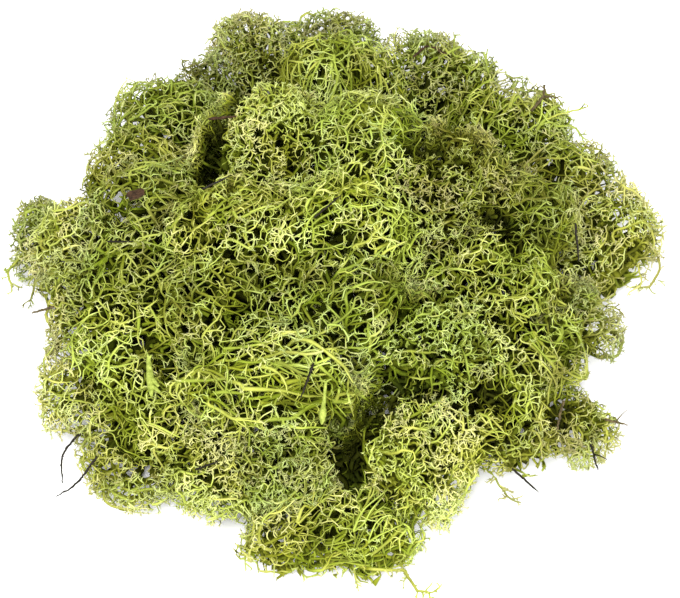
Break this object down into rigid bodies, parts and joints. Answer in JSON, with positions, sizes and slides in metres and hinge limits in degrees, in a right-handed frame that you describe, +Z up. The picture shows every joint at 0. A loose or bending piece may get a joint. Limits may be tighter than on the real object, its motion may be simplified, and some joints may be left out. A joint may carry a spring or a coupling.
{
  "type": "reindeer moss clump",
  "caption": "Low domed clump of dried reindeer moss: cushions of finely branched lichen pressed together, with needles, sticks and bark caught between them.",
  "frame": {"origin": "under the middle of the clump, on the surface that it rests on", "axes": "+Z up from the resting face, +X along the longer side, -Y towards the side with the loose fringe"},
  "size_m": [0.1726, 0.17, 0.0604],
  "materials": {
    "lichen_lime": "dry matt lichen, yellow-green",
    "lichen_yellow": "dry matt lichen, light yellow-green",
    "lichen_pale": "dry matt lichen, pale straw-green",
    "lichen_green": "dry matt lichen, mid green",
    "lichen_olive": "dry matt lichen, olive",
    "lichen_dark": "dry matt lichen, dark olive-green",
    "needle": "dry dark pine needle",
    "stick": "dry brown stick",
    "bark": "dry reddish-brown bark",
    "stalk": "thick smooth lichen stalk"
  },
  "bodies": {
    "root": {"left_edge_tuft": "lichen_dark", "left_pale_tuft": "lichen_pale", "left_lower_olive_tuft": "lichen_olive", "left_low_yellow_tuft": "lichen_pale", "front_left_tuft": "lichen_yellow", "front_left_dome": "lichen_yellow", "front_fringe_tuft": "lichen_yellow", "front_strand_tuft": "lichen_lime", "front_right_dome": "lichen_yellow", "front_right_tuft": "lichen_olive", "right_corner_tuft": "lichen_yellow", "right_low_green_tuft": "lichen_dark", "right_pale_tuft": "lichen_pale", "back_right_tuft": "lichen_olive", "back_right_lime_tuft": "lichen_lime", "back_olive_tuft": "lichen_dark", "back_rim_tuft": "lichen_dark", "back_left_knob": "lichen_olive", "back_left_low_tuft": "lichen_dark", "back_left_tuft": "lichen_green", "left_shoulder_tuft": "lichen_olive", "crown_stalk_tuft": "lichen_lime", "crown_dome": "lichen_yellow", "crown_right_tuft": "lichen_green", "left_middle_tuft": "lichen_green", "centre_left_net": "lichen_yellow", "centre_net": "lichen_lime", "centre_right_tuft": "lichen_yellow", "right_shadow_tuft": "lichen_dark", "right_middle_net": "lichen_lime", "left_green_tuft": "lichen_green", "left_lime_tuft": "lichen_lime", "middle_left_tuft": "lichen_lime", "middle_tuft": "lichen_green", "stalk_mat": "lichen_lime", "lower_left_tuft": "lichen_olive", "lower_middle_tuft": "lichen_green", "lower_right_tuft": "lichen_green", "right_fan_tuft": "lichen_lime", "right_low_tuft": "lichen_olive", "horn_stalk": "stalk", "spindle_stalk": "stalk", "needle_back_left": "needle", "needle_left": "needle", "needle_centre": "needle", "needle_front_left": "needle", "needle_front_right": "needle", "notched_stick": "needle", "left_stick": "stick", "left_hooked_twig": "needle", "front_left_bent_twig": "needle", "back_right_twig": "stick", "back_curved_twig": "bark", "right_dark_stem": "needle", "lower_right_stick": "stick", "right_corner_twig": "needle", "right_forked_twig": "stick", "reddish_twig": "bark", "bark_flake": "bark"}
  },
  "joints": []
}
